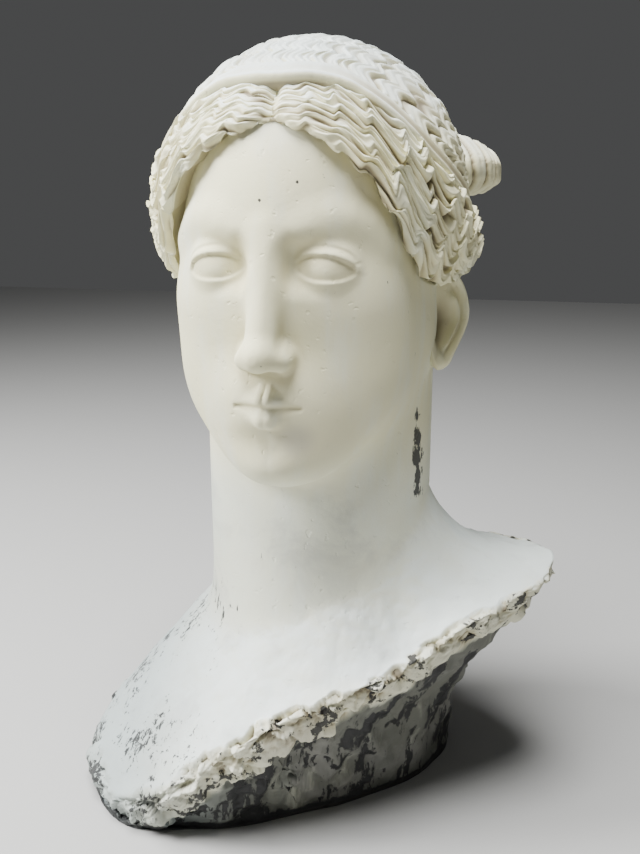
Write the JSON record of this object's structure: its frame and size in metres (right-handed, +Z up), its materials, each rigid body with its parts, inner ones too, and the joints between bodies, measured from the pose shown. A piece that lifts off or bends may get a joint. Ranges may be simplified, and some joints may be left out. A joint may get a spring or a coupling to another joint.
{
  "type": "head sculpture",
  "caption": "Oversize classical head with waved hair, band and knot on a long neck and a broken chest, cast in one with a rough foot that stands on a flat underside.",
  "frame": {"origin": "on the flat underside, below the middle of the part's box", "axes": "+Z up, the face looks along -Y, its left side is +X"},
  "size_m": [0.6998, 0.5862, 1.0794],
  "materials": {
    "painted_cast": "matt white paint, worn through to a black cast underneath along the broken edge and the foot"
  },
  "bodies": {
    "root": {"head_cast": "painted_cast"}
  },
  "joints": []
}
